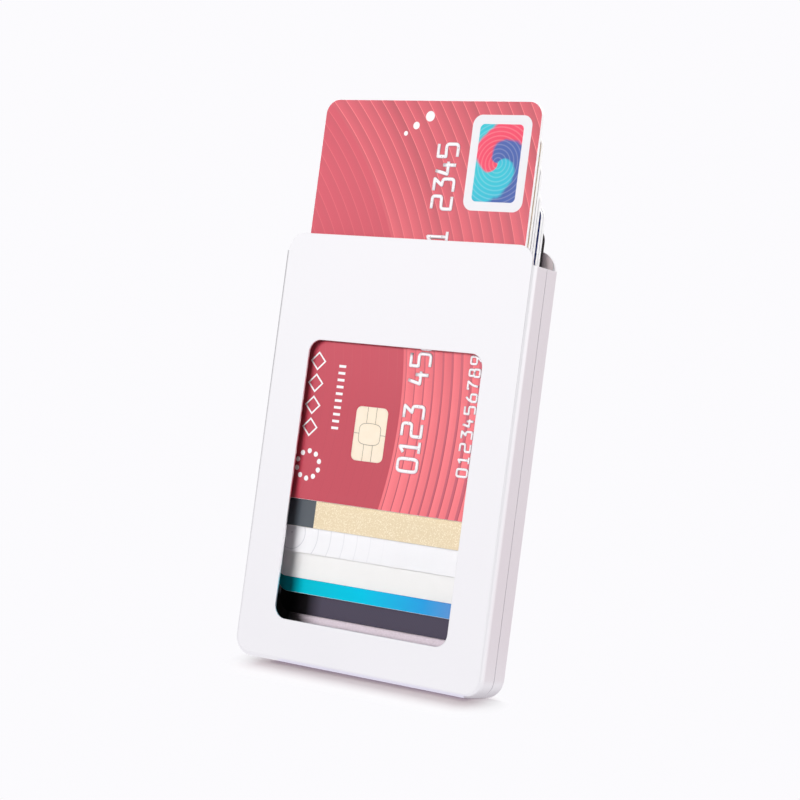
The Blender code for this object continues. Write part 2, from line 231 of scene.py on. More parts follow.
def half_shell(name, low, high, side, lip_inset, lip_radius):
    """A tray that opens towards the seam. side is -1 for the front half and 1 for the rear half.

    Its inside has material index 1.
    """
    seam, face = (high.y, low.y) if side < 0 else (low.y, high.y)
    seam -= side * SEAM_REACH
    inner_face = face - side * FACE_THICKNESS
    beyond_seam = seam - side * OVERRUN
    beyond_face = face + side * OVERRUN
    wall_top = high.z - SIDE_WALL_DROP
    tray_top = high.z + CORNER_RADIUS + EDGE_ROUND
    above = tray_top + OVERRUN
    shell = add_block(name, (low.x, seam, low.z), (high.x, face, tray_top))
    round_edges(shell, along(1), CORNER_RADIUS, CORNER_STEPS)
    round_edges(shell, lies_at(1, face), EDGE_ROUND, EDGE_STEPS)
    round_edges(shell, lies_at(1, seam), SEAM_EDGE, FINE_STEPS)

    cavity = add_block(
        "cavity", (low.x + WALL, beyond_seam, WALL), (high.x - WALL, inner_face, above)
    )
    in_depth = along(1)
    round_edges(
        cavity,
        lambda start, end: in_depth(start, end) and start.z < high.z / 2,
        CORNER_RADIUS - WALL,
        CORNER_STEPS,
    )
    round_edges(cavity, lies_at(1, inner_face), INNER_FILLET, FILLET_STEPS)
    for polygon in cavity.data.polygons:
        polygon.material_index = 1
    cut_out(shell, cavity)

    mouth = add_block(
        "mouth", (low.x - OVERRUN, beyond_seam, wall_top), (high.x + OVERRUN, beyond_face, above)
    )
    lip = add_plate(
        "lip",
        (low.x + lip_inset, inner_face, wall_top - 2 * CORNER_RADIUS),
        (high.x - lip_inset, beyond_face + side * OVERRUN, high.z),
        lip_radius,
        CORNER_STEPS,
    )
    cut_out(mouth, lip)
    cut_out(shell, mouth)
    inside_lip, outside_lip = lies_at(1, inner_face), lies_at(1, face)
    round_edges(
        shell,
        lambda start, end: (inside_lip(start, end) or outside_lip(start, end))
        and min(start.z, end.z) > wall_top + TINY,
        LIP_EDGE,
        FINE_STEPS,
    )
    wall_edges = lies_at(2, wall_top)
    round_edges(
        shell,
        lambda start, end: wall_edges(start, end)
        and abs((start.y + end.y) / 2 - inner_face) > FACE_THICKNESS,
        WALL_TOP_EDGE,
        FILLET_STEPS,
    )
    return shell


def cut_groove(shell, start, end):
    """The groove that a rail's bead snaps into, along the line between two points."""
    start, end = Vector(start), Vector(end)
    bpy.ops.mesh.primitive_cylinder_add(
        vertices=GROOVE_SIDES,
        radius=GROOVE_RADIUS,
        depth=(end - start).length,
        location=(start + end) / 2,
        rotation=(end - start).to_track_quat("Z", "Y").to_euler(),
    )
    groove = bpy.context.object
    bpy.ops.object.transform_apply(location=True, rotation=True, scale=True)
    cut_out(shell, groove)


def cut_grooves(shell, side):
    """The grooves for the two side rails and the floor rail."""
    for node, x_side in (("left_rail", -1), ("right_rail", 1)):
        low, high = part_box(node)
        x = (low.x if x_side < 0 else high.x) - x_side * (GROOVE_RADIUS - GROOVE_SINK)
        y = side * (high.y - GROOVE_FROM_EDGE)
        cut_groove(shell, (x, y, low.z + GROOVE_RADIUS), (x, y, high.z - GROOVE_RADIUS))
    low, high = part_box("floor_rail")
    y = side * (high.y - GROOVE_FROM_EDGE)
    z = low.z + GROOVE_RADIUS - GROOVE_SINK
    cut_groove(shell, (low.x + GROOVE_RADIUS, y, z), (high.x - GROOVE_RADIUS, y, z))


class Level:
    """A socket that gives a number or a colour. Python's operators on a number add Math nodes."""

    def __init__(self, finish, socket):
        self.finish = finish
        self.socket = socket

    def __add__(self, other):
        return self.finish.maths("ADD", self, other)

    def __sub__(self, other):
        return self.finish.maths("SUBTRACT", self, other)

    def __rsub__(self, other):
        return self.finish.maths("SUBTRACT", other, self)

    def __mul__(self, other):
        return self.finish.maths("MULTIPLY", self, other)

    def __truediv__(self, other):
        return self.finish.maths("DIVIDE", self, other)

    def __pow__(self, other):
        return self.finish.maths("POWER", self, other)

    def __abs__(self):
        return self.finish.maths("ABSOLUTE", self)


class Finish:
    """A material, and the ways to feed its Principled shader. Constants go on the shader's own sockets."""

    def __init__(self, name, constants):
        self.material = bpy.data.materials.new(name)
        self.material.use_nodes = True
        self.tree = self.material.node_tree
        self.shader = self.tree.nodes["Principled BSDF"]
        for socket, value in constants.items():
            self.shader.inputs[socket].default_value = value

    def node(self, kind, settings, values, output=0):
        """Adds a node, sets it up, gives its sockets their values or links, and returns one output."""
        node = self.tree.nodes.new("ShaderNode" + kind)
        for name, value in settings.items():
            if name == "stops":
                ramp = node.color_ramp.elements
                while len(ramp) < len(value):
                    ramp.new(1)
                for element, (place, colour) in zip(ramp, value):
                    element.position = place
                    element.color = (*colour, 1)
            else:
                setattr(node, name, value)
        for socket, value in values.items():
            if isinstance(value, Level):
                self.tree.links.new(value.socket, node.inputs[socket])
            elif isinstance(value, tuple) and node.inputs[socket].type == "RGBA":
                node.inputs[socket].default_value = (*value, 1)
            else:
                node.inputs[socket].default_value = value
        return Level(self, node.outputs[output])

    def maths(self, operation, *values, clamp=False):
        settings = {"operation": operation, "use_clamp": clamp}
        return self.node("Math", settings, dict(enumerate(values)))

    def place(self, kind="Object"):
        """The place on the surface in the object's own coordinates, or another kind of place."""
        return self.node("TexCoord", {}, {}, kind)

    def axes(self, place):
        """The X, Y and Z of a place."""
        return [self.node("SeparateXYZ", {}, {"Vector": place}, axis) for axis in "XYZ"]

    def noise(self, size, detail, seed=0, place=None):
        """Noise from 0 to 1 whose spots are about this size."""
        values = {"Vector": place or self.place(), "Scale": 1 / size, "Detail": detail, "W": seed}
        return self.node("TexNoise", {"noise_dimensions": "4D"}, values)

    def step_up(self, value, place, soft):
        """0 below a place and 1 above it, with a soft edge this wide."""
        return self.maths("ADD", (value - place) / soft, 0.5, clamp=True)

    def step_down(self, value, place, soft):
        """1 below a place and 0 above it, with a soft edge this wide."""
        return 1 - self.step_up(value, place, soft)

    def between(self, value, start, end, soft):
        """1 from one place to another, and 0 outside them."""
        return self.step_up(value, start, soft) * self.step_down(value, end, soft)

    def mix(self, share, first, second):
        """The first colour where share is 0, and the second where it is 1."""
        # The node's inputs 6 and 7 and its output 2 are the ones for colours
        colours = {0: share, 6: first, 7: second}
        return self.node("Mix", {"data_type": "RGBA"}, colours, 2)

    def colour(self, share, first, second):
        """A base colour between two."""
        self.feed("Base Color", self.mix(share, first, second))

    def rough(self, level, least, most):
        """A roughness that runs from least to most as the level runs from 0 to 1."""
        self.feed("Roughness", level * (most - least) + least)

    def bump(self, height, depth, strength):
        """Relief of this depth that follows the height."""
        values = {"Height": height, "Distance": depth, "Strength": strength}
        self.feed("Normal", self.node("Bump", {}, values))

    def feed(self, socket, value):
        """Links a value to one of the shader's sockets."""
        self.tree.links.new(value.socket, self.shader.inputs[socket])


def anodised_aluminium(name, seed):
    """Bead-blasted silver anodising: a fine even grain, and a faint cloudiness in tone and gloss."""
    finish = Finish(name, {"Metallic": 1.0})
    grain = finish.noise(GRAIN_SIZE, FINE_DETAIL, seed)
    cloud = finish.noise(CLOUD_SIZE, FINE_DETAIL, seed + 1)
    tone = cloud * CLOUD_SHARE + grain * (1 - CLOUD_SHARE)
    finish.colour(tone, ALUMINIUM_SHADE, ALUMINIUM)
    uneven = cloud * CLOUD_ROUGHNESS + grain * GRAIN_ROUGHNESS
    finish.feed("Roughness", uneven + ALUMINIUM_ROUGHNESS)
    finish.bump(grain, *ALUMINIUM_RELIEF)
    return finish.material


def blasted_inside(name, seed):
    """The inside, blasted with coarser beads: matt and mottled; rubbed bright by cards and painted light at
    the mouth.

    Its two lower corners are darkened to near black with painted shade.
    """
    finish = Finish(name, {"Specular IOR Level": 0.15})
    mottle = finish.noise(MOTTLE_SIZE, FINE_DETAIL, seed)
    x, _, z = finish.axes(finish.place())
    # Painted shade in the two lower corners
    painted_shade_corners = finish.step_up(abs(x), *CORNER_SHADE_SIDE_BLEND) * finish.step_down(z, *CORNER_SHADE_TOP_BLEND)
    dull = finish.mix(painted_shade_corners, finish.mix(mottle, INSIDE, INSIDE_SPOT), CORNER_PAINTED_SHADE)
    # The band at the mouth is real rubbing plus painted light
    rubbed_and_painted_light = finish.step_up(z, *RUBBED_AND_PAINTED_LIGHT_BLEND)
    finish.colour(rubbed_and_painted_light, dull, RUBBED_AND_PAINTED_LIGHT)
    finish.feed("Metallic", rubbed_and_painted_light * RUBBED_METALLIC)
    finish.rough(mottle, *INSIDE_ROUGHNESS)
    finish.bump(finish.noise(GRAIN_SIZE, FINE_DETAIL, seed), *INSIDE_RELIEF)
    return finish.material


def finish_half(shell, half, seed):
    """Smooths a half shell and puts it in place. half is front or rear."""
    smooth(shell)
    outside = anodised_aluminium(half + "_aluminium", seed)
    inside = blasted_inside(half + "_inside", seed + 2)
    set_in_place(shell, "case", "anodised_aluminium", [outside, inside], half + "_shell")


front_low, front_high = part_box("front_shell")
front_shell = half_shell(
    "front_case", front_low, front_high, -1, FRONT_LIP_INSET, FRONT_LIP_RADIUS
)
window_half = front_high.x - WINDOW_SIDE_FRAME
window_top = front_high.z - WINDOW_TOP_FRAME
window = add_plate(
    "window",
    (-window_half, front_low.y - OVERRUN, WINDOW_BOTTOM),
    (window_half, front_low.y + WALL + OVERRUN, window_top),
    WINDOW_RADIUS,
    CORNER_STEPS,
)
cut_out(front_shell, window)
window_edge = lies_at(1, front_low.y)


def round_the_window(start, end):
    """Chooses the window's edge on the front face, and leaves the case's own outline."""
    inside = max(abs(start.x), abs(end.x)) < window_half + TINY
    low_enough = max(start.z, end.z) < window_top + TINY
    high_enough = min(start.z, end.z) > WINDOW_BOTTOM - TINY
    return window_edge(start, end) and inside and low_enough and high_enough


round_edges(front_shell, round_the_window, WINDOW_EDGE, FILLET_STEPS)
cut_grooves(front_shell, -1)
finish_half(front_shell, "front", 0)

# The rear half shell: the same drawn tray with a closed, plain back. It carries the rear lip of the mouth.
REAR_LIP_INSET = 0.00065
REAR_LIP_RADIUS = 0.0044

rear_low, rear_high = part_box("rear_shell")
rear_shell = half_shell("rear_case", rear_low, rear_high, 1, REAR_LIP_INSET, REAR_LIP_RADIUS)
cut_grooves(rear_shell, 1)
finish_half(rear_shell, "rear", 10)

# The two side rails and the floor rail: black moulded strips that hold the half shells together with
# beads. They have the fine spark-eroded grain of their mould.
PLASTIC = (0.022, 0.022, 0.025)
PLASTIC_WORN = (0.045, 0.044, 0.047)
PLASTIC_ROUGHNESS = (0.5, 0.68)
PLASTIC_RELIEF = (0.00002, 0.6)
MOULD_GRAIN = 0.00016


def black_plastic(name, seed):
    finish = Finish(name, {"Specular IOR Level": 0.45})
    grain = finish.noise(MOULD_GRAIN, FINE_DETAIL, seed)
    finish.colour(grain, PLASTIC, PLASTIC_WORN)
    finish.rough(grain, *PLASTIC_ROUGHNESS)
    finish.bump(grain, *PLASTIC_RELIEF)
    return finish.material


def dress(node, material):
    """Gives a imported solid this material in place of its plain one."""
    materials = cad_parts[node].data.materials
    materials.clear()
    materials.append(material)


for seed, node in enumerate(("left_rail", "right_rail", "floor_rail")):
    dress(node, black_plastic(node + "_plastic", seed))

# The leaf springs: bowed strips of rolled stainless steel whose ends sit in slots in the rails.
STEEL = (0.62, 0.61, 0.6)
STEEL_DARK = (0.5, 0.49, 0.48)
STEEL_ROUGHNESS = (0.24, 0.38)
STEEL_RELIEF = (0.000006, 0.5)
ROLLING_WIDTH = 0.00006
ROLLING_LENGTH = 0.006


def rolled_steel(name, seed):
    """Stainless strip with fine rolling lines along its length."""
    finish = Finish(name, {"Metallic": 1.0})
    scale = (1 / ROLLING_WIDTH, 1 / ROLLING_WIDTH, 1 / ROLLING_LENGTH)
    stretched = finish.node("VectorMath", {"operation": "MULTIPLY"}, {0: finish.place(), 1: scale})
    lines = finish.noise(1, PLAIN_DETAIL, seed, stretched)
    finish.colour(lines, STEEL_DARK, STEEL)
    finish.rough(lines, *STEEL_ROUGHNESS)
    finish.bump(lines, *STEEL_RELIEF)
    return finish.material


for seed, node in enumerate(("left_leaf_spring", "right_leaf_spring")):
    dress(node, rolled_steel(node + "_steel", seed))

# The floor bumper: a strip of soft foamed rubber on the floor rail, which the cards land on.
RUBBER = (0.035, 0.035, 0.038)
RUBBER_DUSTY = (0.085, 0.083, 0.085)
RUBBER_ROUGHNESS = (0.72, 0.92)
RUBBER_RELIEF = (0.00004, 0.8)
CELL_SIZE = 0.00022

rubber = Finish("foamed_rubber", {"Specular IOR Level": 0.3})
cells = rubber.noise(CELL_SIZE, FINEST_DETAIL)
rubber.colour(cells, RUBBER, RUBBER_DUSTY)
rubber.rough(cells, *RUBBER_ROUGHNESS)
rubber.bump(cells, *RUBBER_RELIEF)
dress("floor_bumper", rubber.material)

# The felt pads: thin grey felt glued inside the front panel, so that the embossed card slides on it.
FELT = (0.12, 0.12, 0.125)
FELT_LIGHT = (0.26, 0.26, 0.265)
FELT_ROUGHNESS = (0.9, 1.0)
FELT_RELIEF = (0.00008, 0.8)
FIBRE_WIDTH = 0.00007
FIBRE_SHARE = 0.6
TUFT_SIZE = 0.0006

felt = Finish("grey_felt", {"Sheen Weight": 0.4, "Specular IOR Level": 0.2})
fibres = felt.noise(FIBRE_WIDTH, FINEST_DETAIL)
tufts = felt.noise(TUFT_SIZE, FINE_DETAIL, seed=5)
tone = fibres * FIBRE_SHARE + tufts * (1 - FIBRE_SHARE)
felt.colour(tone, FELT, FELT_LIGHT)
felt.rough(fibres, *FELT_ROUGHNESS)
felt.bump((fibres + tufts) / 2, *FELT_RELIEF)
for node in ("front_pad_upper", "front_pad_lower"):
    dress(node, felt.material)

# The contact plates of the chip cards: gold-plated copper in milled pockets, etched into contact fields.
CHIP_RADIUS = 0.0012
CHIP_EDGE = 0.00003
CHIP_STEPS = 8
POCKET_GAP = 0.00004
ETCH_WIDTH = 0.00011
STROKE_SIDES = 2
STROKE_STEPS = 4
STROKE_ORDER = 3
CHIP_GOLD = (0.86, 0.735, 0.57)
CHIP_GOLD_LIGHT = (0.92, 0.815, 0.68)
CHIP_ROUGHNESS = (0.26, 0.40)
CHIP_RELIEF = (0.000004, 0.5)
CHIP_GRAIN = 0.00009
PATINA_SIZE = 0.0015
CHIP_ETCH = (0.16, 0.12, 0.09)
ETCH_GRAIN = 0.00005
ETCH_GOLD_SHARE = 0.3
ETCH_ROUGHNESS = (0.6, 0.8)
# Etched lines as shares of the plate's width and height, from its lower left corner
FIELD_LINE_SHARES = (
    ((0.36, 1.05), (0.36, 0.70)),
    ((0.64, 1.05), (0.64, 0.70)),
    ((0.36, -0.05), (0.36, 0.30)),
    ((0.64, -0.05), (0.64, 0.30)),
    ((-0.05, 0.5), (0.16, 0.5)),
    ((0.84, 0.5), (1.05, 0.5)),
)
FIELD_LOOP_SHARES = (
    (0.16, 0.5), (0.16, 0.66), (0.36, 0.70), (0.64, 0.70), (0.84, 0.66), (0.84, 0.5),
    (0.84, 0.34), (0.64, 0.30), (0.36, 0.30), (0.16, 0.34), (0.16, 0.5),
)


def add_strokes(name, strokes, radius):
    """A mesh of round strokes. Each stroke is a list of points, and a loop if it ends where it starts."""
    curve = bpy.data.curves.new(name, "CURVE")
    curve.dimensions = "3D"
    curve.bevel_depth = radius
    curve.bevel_resolution = STROKE_SIDES
    curve.use_fill_caps = True
    for places in strokes:
        closed = places[0] == places[-1]
        places = places[:-1] if closed else places
        spline = curve.splines.new("NURBS")
        spline.points.add(len(places) - 1)
        for point, place in zip(spline.points, places):
            point.co = (*place, 1)
        spline.order_u = min(STROKE_ORDER, len(places))
        spline.use_endpoint_u = not closed
        spline.use_cyclic_u = closed
        spline.resolution_u = STROKE_STEPS
    stroke = bpy.data.objects.new(name, curve)
    bpy.context.scene.collection.objects.link(stroke)
    pick(stroke)
    bpy.ops.object.convert(target="MESH")
    bpy.ops.object.mode_set(mode="EDIT")
    bpy.ops.mesh.select_all(action="SELECT")
    bpy.ops.mesh.remove_doubles(threshold=TINY)
    bpy.ops.mesh.normals_make_consistent(inside=False)
    bpy.ops.object.mode_set(mode="OBJECT")
    return stroke


def plated_gold(name, seed):
    finish = Finish(name, {"Metallic": 0.75})
    patina = finish.noise(PATINA_SIZE, FINE_DETAIL, seed)
    finish.colour(patina, CHIP_GOLD, CHIP_GOLD_LIGHT)
    finish.rough(patina, *CHIP_ROUGHNESS)
    finish.bump(finish.noise(CHIP_GRAIN, PLAIN_DETAIL, seed), *CHIP_RELIEF)
    return finish.material


def etched_line(name, seed):
    finish = Finish(name, {"Specular IOR Level": 0.3})
    grain = finish.noise(ETCH_GRAIN, PLAIN_DETAIL, seed)
    finish.colour(grain * ETCH_GOLD_SHARE, CHIP_ETCH, CHIP_GOLD)
    finish.rough(grain, *ETCH_ROUGHNESS)
    return finish.material


def add_chip(number, card):
    """Mills the card's pocket and lays the etched contact plate in it."""
    low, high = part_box(f"card_{number}_chip")
    grow = Vector((POCKET_GAP, 0, POCKET_GAP))
    pocket = add_plate(
        "pocket",
        low - grow - Vector((0, OVERRUN, 0)),
        high + grow + Vector((0, POCKET_GAP, 0)),
        CHIP_RADIUS + POCKET_GAP,
        CHIP_STEPS,
    )
    cut_out(card, pocket)
    plate = add_plate(f"contact_plate_{number}", low, high, CHIP_RADIUS, CHIP_STEPS)
    round_edges(plate, lies_at(1, low.y), CHIP_EDGE, FINE_STEPS)
    size = high - low
    for shares in (*FIELD_LINE_SHARES, FIELD_LOOP_SHARES):
        line = [(low.x + a * size.x, low.y, low.z + b * size.z) for a, b in shares]
        etching = add_strokes("etching", [line], ETCH_WIDTH / 2)
        for polygon in etching.data.polygons:
            polygon.material_index = 1
        cut_out(plate, etching)
    smooth(plate)
    finishes = [plated_gold(f"chip_{number}_gold", number), etched_line(f"chip_{number}_etch", number)]
    set_in_place(plate, f"sliding_card_{number}", "gold_contact", finishes, f"card_{number}_chip")


# The red card, in front: a laminated plastic card with rose-red print in rippling arcs. Its number is
# embossed and silver tipped, its chip lies in a milled pocket, and its foil patch is hot stamped.
CARD_RADIUS = 0.00318
CARD_EDGE = 0.00005
CARD_STEPS = 14
SKIN_THICKNESS = 0.00008
SKIN_EDGE = 0.00004
SKIN_SHARE = 0.55
CORE_WHITE = (0.93, 0.92, 0.93)
CORE_SPECKLE = 0.06
CORE_ROUGHNESS = (0.48, 0.63)
CORE_RELIEF = (0.00001, 0.5)
COATED = {"Coat Weight": 0.2, "Coat Roughness": 0.15}
PRINT_GRAIN = 0.00013
PRINT_CLOUD = 0.004
PRINT_ROUGHNESS = (0.3, 0.38)
PRINT_RELIEF = (0.000008, 0.4)
PRINT_GRAIN_SHARE = 0.6
INK_EDGE = 0.00006
ROW_EDGE_SHARE = 0.01

STRIPE_START = 0.0046
STRIPE_END = 0.0173
STRIPE_BLACK = (0.018, 0.017, 0.019)
SIGNATURE_LOW = (0.0208, 0.010)
SIGNATURE_HIGH = (0.0306, 0.068)
SIGNATURE_CORNER = 0.0004
SIGNATURE_WHITE = (0.82, 0.82, 0.80)
SIGNATURE_TINT = (0.66, 0.72, 0.78)
SIGNATURE_PITCH = 0.0011
SIGNATURE_WAVE_BLEND = (0.4, 0.4)
BACK_SHADE = 0.9
BACK_CLOUD = 0.4

# Shares of an ink say how much of it lies where its pattern is at its fullest
RED_SKIN = (0.90, 0.80, 0.86)
RED_BACK = (0.72, 0.16, 0.2)
RED_DEEP = (0.50, 0.055, 0.085)
RED_DEEP_SHARE = 0.2
RED_TOP = (0.66, 0.095, 0.135)
RED_TOP_BLEND = (0.045, 0.050)
CORAL = (0.97, 0.215, 0.245)
CORAL_FROM = 0.0890
CORAL_FADE_IN_BAND = 0.3
CORAL_FADE_UPWARDS = 0.75
ARC_DARK = (0.30, 0.035, 0.055)
ARC_DARK_SHARE = 0.12
ARC_DARK_CORAL_SHARE = 0.75
ARC_LIGHT = (0.92, 0.26, 0.28)
ARC_LIGHT_SHARE = 0.8
PLEAT_SHARE = 0.4
PLEAT_BROWN = (0.40, 0.085, 0.105)
BROWN_SHARE = 0.35
BROWN_TONE_SHARE = 0.5
BAND_MAUVE = (0.46, 0.085, 0.14)
BAND_MAUVE_SHARE = 0.75
BAND_GROWTH = 14
BAND_SOFT = 0.05
SPECKLE_SHARE = 0.14
RIPPLE_CENTRE = (-0.060, 0.020)
RIPPLE_STEP = 0.0023
RIPPLE_LINE = 0.00016
RIPPLE_SOFT_SHARE = 0.4

PATCH_LOW = (0.0378, 0.0630)
PATCH_HIGH = (0.0520, 0.0828)
PATCH_BORDER = 0.0019
PATCH_CORNER = 0.0022
PATCH_INNER_CORNER = 0.00106
PATCH_WHITE = (0.79, 0.78, 0.81)
PATCH_TURNS_PER_METRE = 60
PATCH_WAVER = 0.2
PATCH_RING_STEP = 0.0009
PATCH_RING_BLEND = (0.6, 0.5)
PATCH_RING_SHARE = 0.12
PATCH_STOPS = (
    (0.0, (0.02, 0.50, 0.60)),
    (0.28, (0.02, 0.46, 0.60)),
    (0.32, (0.04, 0.09, 0.34)),
    (0.58, (0.05, 0.10, 0.36)),
    (0.62, (0.80, 0.05, 0.11)),
    (0.86, (0.82, 0.06, 0.13)),
    (0.90, (0.02, 0.50, 0.60)),
)

PRINT_WHITE = (0.88, 0.87, 0.885)
SEAL_CENTRE = (0.0074, 0.0074)
SEAL_RADIUS = 0.0029
SEAL_DOTS = 10
SEAL_DOT = 0.00055
DIAMOND_ACROSS = 0.0066
DIAMOND_START = 0.0130
DIAMOND_PITCH = 0.0047
DIAMOND_COUNT = 4
DIAMOND_REACH = 0.0018
DIAMOND_LINE = 0.0005
BAR_ACROSS = 0.0131
BAR_START = 0.0150
BAR_PITCH = 0.00145
BAR_COUNT = 10
BAR_LENGTH = 0.0018
BAR_WIDTH = 0.00055
# The middle and radius of each dot in the row of growing dots near the card's top
GROWING_DOTS = (
    ((0.0214, 0.0786), 0.0005),
    ((0.0238, 0.0803), 0.0008),
    ((0.0270, 0.0823), 0.0011),
)

# Painted shade on the digits' flanks, darker than the card's red; it also shows where the foil is worn
FLANK_PAINTED_SHADE_AND_WEAR = (0.26, 0.10, 0.13)
SILVER = (0.93, 0.92, 0.95)
FOIL_FROM_SHARE = 0.3
FOIL_SOFT_SHARE = 0.3
FOIL_METALLIC = 0.6
FOIL_ROUGHNESS = (0.24, 0.36)
FOIL_RELIEF = (0.00001, 0.5)
WEAR_SIZE = 0.0004
WEAR_BLEND = (0.66, 0.08)
WEAR_SHARE = 0.7
NUMBER = "0123 4567 8901 2345"
NUMBER_SIZES = dict(baseline=0.0350, cap=0.0048, start=0.0086, pitch=0.00363, width=0.0026)
NUMBER_STROKE = dict(weight=0.00084, proud=0.00026)
SHORT_NUMBER = "0123456789012"
SHORT_SIZES = dict(baseline=0.0473, cap=0.0025, start=0.0090, pitch=0.00254, width=0.0015)
SHORT_STROKE = dict(weight=0.00056, proud=0.0002)


def loop(left, right, bottom, top):
    """A digit's round loop, from the middle of its top and back to it."""
    across, up = (left + right) / 2, (bottom + top) / 2
    right_side = [(across, top), (right, top), (right, up), (right, bottom)]
    left_side = [(across, bottom), (left, bottom), (left, up), (left, top), (across, top)]
    return right_side + left_side


# The strokes of each digit as shares of its width and height. A stroke that ends where it starts is a loop.
DIGIT_STROKE_SHARES = {
    "0": [loop(0, 1, 0, 1)],
    "1": [[(0.1, 0.8), (0.55, 1), (0.55, 1), (0.55, 0)], [(0.1, 0), (1, 0)]],
    "2": [
        [(0, 1), (0.5, 1), (1, 1), (1, 0.75), (1, 0.52), (0.5, 0.52), (0, 0.5), (0, 0.25),
         (0, 0), (0, 0), (1, 0)],
    ],
    "3": [
        [(0.05, 1), (1, 1), (1, 1), (0.5, 0.6), (0.5, 0.6), (1, 0.58), (1, 0.3), (1, 0),
         (0.5, 0), (0, 0)],
    ],
    "4": [[(0.25, 1), (0, 0.4), (0, 0.4), (1, 0.4)], [(0.72, 0.65), (0.72, 0)]],
    "5": [
        [(1, 1), (0, 1), (0, 1), (0, 0.58), (0, 0.58), (0.5, 0.6), (1, 0.6), (1, 0.3),
         (1, 0), (0.5, 0), (0, 0)],
    ],
    "6": [[(0.6, 1), (0.05, 0.75), (0, 0.3)], loop(0, 1, 0, 0.58)],
    "7": [[(0, 0.85), (0, 1), (0, 1), (1, 1), (1, 1), (0.45, 0.5), (0.4, 0)]],
    "8": [loop(0, 1, 0, 0.54), loop(0.08, 0.92, 0.54, 1)],
    "9": [loop(0, 1, 0.42, 1), [(1, 0.7), (0.95, 0.25), (0.4, 0)]],
}


class Print(Finish):
    """The printed face of a card, with places measured from the card's lower left corner."""

    def __init__(self, name, number, constants):
        super().__init__(name, constants)
        self.low, self.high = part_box(f"card_{number}")
        x, _, z = self.axes(self.place())
        self.across = x - self.low.x
        self.up = z - self.low.z
        self.grain = self.noise(PRINT_GRAIN, PLAIN_DETAIL, number)
        self.cloud = self.noise(PRINT_CLOUD, PLAIN_DETAIL, number)

    def radius_from(self, centre):
        """The distance from a point of the card."""
        return ((self.across - centre[0]) ** 2 + (self.up - centre[1]) ** 2) ** 0.5

    def turn_about(self, centre):
        """The direction from a point of the card, as an angle."""
        return self.maths("ARCTAN2", self.up - centre[1], self.across - centre[0])

    def inside(self, low, high, corner):
        """1 inside a rectangle with round corners, and 0 outside it."""
        middle = [(a + b) / 2 for a, b in zip(low, high)]
        reach = [(b - a) / 2 - corner for a, b in zip(low, high)]
        dx = self.maths("MAXIMUM", abs(self.across - middle[0]) - reach[0], 0)
        dz = self.maths("MAXIMUM", abs(self.up - middle[1]) - reach[1], 0)
        return self.step_down((dx**2 + dz**2) ** 0.5, corner, INK_EDGE)

    def repeats(self, start, pitch, count):
        """A row up the card: how far the nearest repeat's middle is, and 1 inside the row."""
        place = (self.up - start) / pitch
        away = abs(self.maths("FRACT", place) - 0.5) * pitch
        return away, self.between(place, 0, count, ROW_EDGE_SHARE)

    def lacquer(self, colour):
        """A satin laminate over the print, with the slight grain of its press plate."""
        height = self.grain * PRINT_GRAIN_SHARE + self.cloud * (1 - PRINT_GRAIN_SHARE)
        self.feed("Base Color", colour)
        self.rough(self.grain, *PRINT_ROUGHNESS)
        self.bump(height, *PRINT_RELIEF)
        return self.material


def add_card(name, number):
    """A punched card between the corners of its node, with slots for its core, front and back."""
    low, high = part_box(f"card_{number}")
    card = add_plate(name, low, high, CARD_RADIUS, CARD_STEPS)
    for face in (low.y, high.y):
        round_edges(card, lies_at(1, face), CARD_EDGE, FINE_STEPS)
    for polygon in card.data.polygons:
        if abs(polygon.normal.y) > ALIGNED_SHARE:
            polygon.material_index = 1 if polygon.normal.y < 0 else 2
    return card


def card_core(name, number, skin, core):
    """The punched edge: a core between two thin clear skins that take the print's colour."""
    finish = Finish(name, {"Specular IOR Level": 0.2})
    low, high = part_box(f"card_{number}")
    from_middle = abs(finish.axes(finish.place())[1] - (low.y + high.y) / 2)
    skins = finish.step_up(from_middle, (high.y - low.y) / 2 - SKIN_THICKNESS, SKIN_EDGE)
    grain = finish.noise(PRINT_GRAIN, PLAIN_DETAIL, number)
    tone = skins * SKIN_SHARE + grain * CORE_SPECKLE
    finish.colour(tone, core, skin)
    finish.rough(grain, *CORE_ROUGHNESS)
    finish.bump(grain, *CORE_RELIEF)
    return finish.material


def card_back(name, number, ground):
    """The back print: a magnetic stripe along one long edge, and a signature panel beside it."""
    printed = Print(name, number, {})
    stripe = printed.between(printed.across, STRIPE_START, STRIPE_END, INK_EDGE)
    panel = printed.inside(SIGNATURE_LOW, SIGNATURE_HIGH, SIGNATURE_CORNER)
    waves = printed.maths("SINE", (printed.up + printed.across) * (math.tau / SIGNATURE_PITCH))
    waves = printed.step_up(waves, *SIGNATURE_WAVE_BLEND)
    darker = tuple(part * BACK_SHADE for part in ground)
    colour = printed.mix(printed.cloud * BACK_CLOUD, ground, darker)
    colour = printed.mix(panel, colour, printed.mix(waves, SIGNATURE_WHITE, SIGNATURE_TINT))
    return printed.lacquer(printed.mix(stripe, colour, STRIPE_BLACK))


def finish_card(number, slot, card, front, skin, back, core=CORE_WHITE):
    """Shades a card and puts it in place, with the materials of its core, front and back."""
    finishes = [
        card_core(card.name + "_core", number, skin, core),
        front,
        card_back(card.name + "_back", number, back),
    ]
    smooth(card)
    set_in_place(card, f"sliding_card_{number}", slot, finishes, f"card_{number}")


def ripples(printed, centre, step, line):
    """Concentric arcs: 1 on each thin line, each band's own tone, and the way across the band."""
    rings = printed.radius_from(centre) / step
    within = printed.maths("FRACT", rings)
    lines = printed.step_down(within, line / step, RIPPLE_SOFT_SHARE * line / step)
    tone = printed.node(
        "TexWhiteNoise",
        {"noise_dimensions": "1D"},
        {"W": printed.maths("FLOOR", rings)},
        "Value",
    )
    return lines, tone, within


